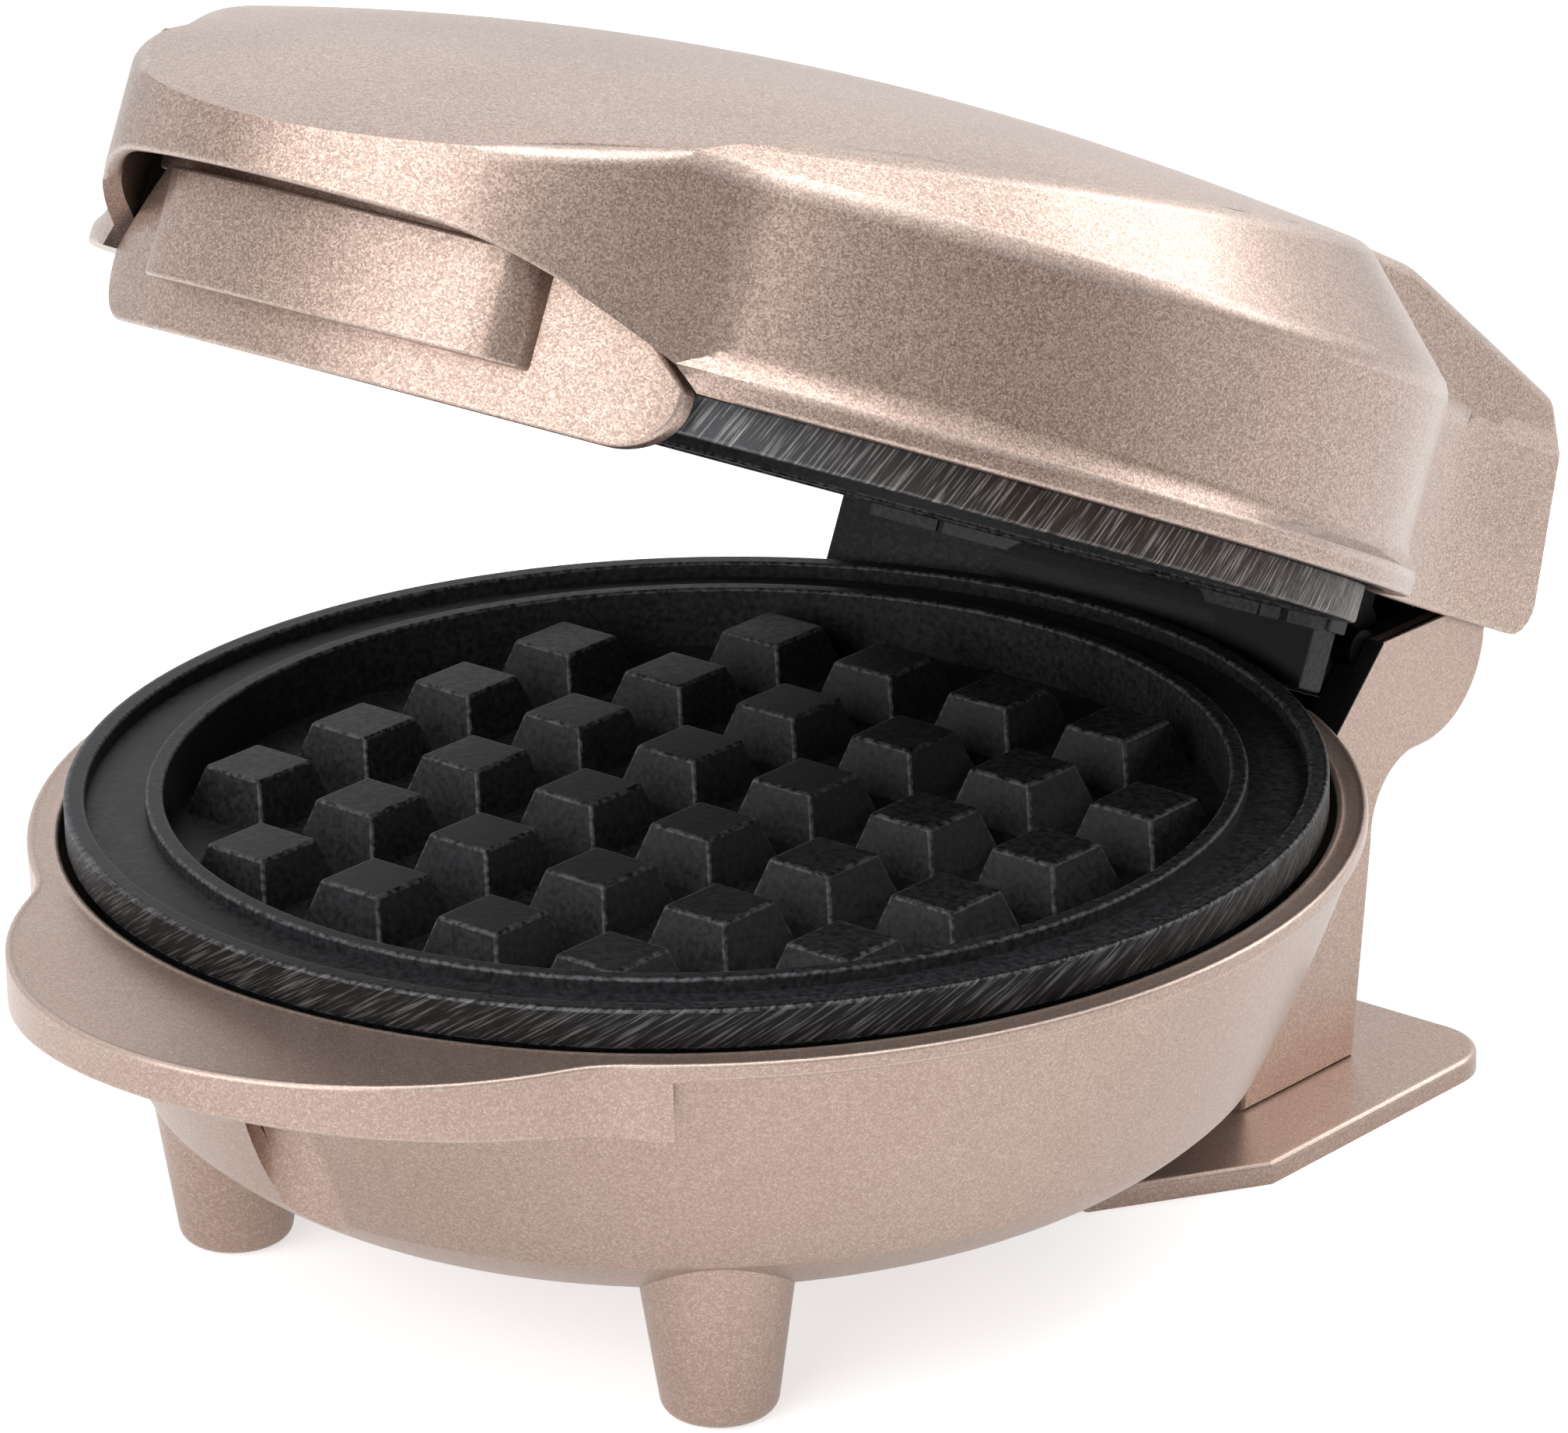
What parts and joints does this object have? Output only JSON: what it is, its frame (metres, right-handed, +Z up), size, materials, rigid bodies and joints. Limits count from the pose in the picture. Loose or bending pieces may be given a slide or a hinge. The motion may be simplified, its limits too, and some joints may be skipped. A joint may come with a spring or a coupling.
{
  "type": "waffle maker",
  "caption": "Round tabletop waffle maker: bowl base on feet, gridded non-stick plates and a domed lid that opens on a rear hinge, with a visor handle in front.",
  "frame": {"origin": "on the table, under the middle of the bounding box with the lid in its stored open pose", "axes": "+Z up; -Y is the handle side, +Y the hinge side; +X is to the right when facing the back from the front"},
  "size_m": [0.193, 0.2605, 0.1837],
  "materials": {
    "champagne_shell": "satin metallic flake paint on moulded plastic",
    "nonstick_plate": "dark grainy non-stick coating on cast aluminium, brushed marks on the edge",
    "black_plastic": "fine grained heat-proof moulding",
    "shield_steel": "pressed sheet, bright",
    "heater_steel": "heat-dulled tube",
    "fastener_steel": "zinc plated",
    "terminal_ceramic": "unglazed ceramic",
    "black_rubber": "matt moulded rubber"
  },
  "bodies": {
    "base": {"base_housing": "champagne_shell", "hinge_column": "champagne_shell", "rear_foot_plate": "champagne_shell", "lower_plate": "nonstick_plate", "lower_heat_shield": "shield_steel", "lower_element": "heater_steel", "lower_element_pins": "heater_steel", "terminal_block": "terminal_ceramic", "thermostat": "shield_steel", "lower_plate_screws": "fastener_steel", "foot_plate_screws": "fastener_steel", "foot_pads": "black_rubber", "hinge_pin": "fastener_steel", "hinge_tray": "black_plastic", "cord_gland": "black_rubber", "mains_lead": "black_rubber"},
    "lid": {"lid_housing": "champagne_shell", "handle_tab": "champagne_shell", "handle_screws": "fastener_steel", "upper_plate": "nonstick_plate", "upper_heat_shield": "shield_steel", "upper_element": "heater_steel", "upper_element_pins": "heater_steel", "lid_terminal_block": "terminal_ceramic", "thermal_fuse": "shield_steel", "upper_plate_screws": "fastener_steel", "shield_screws": "fastener_steel", "hinge_block": "black_plastic", "hinge_block_screws": "fastener_steel"}
  },
  "joints": [
    {"name": "lid_hinge", "type": "hinge", "parent": "base", "child": "lid", "pos_m": [0, 0.08595, 0.066], "axis": [-1, 0, 0], "range_deg": [-25.2, 70]}
  ]
}
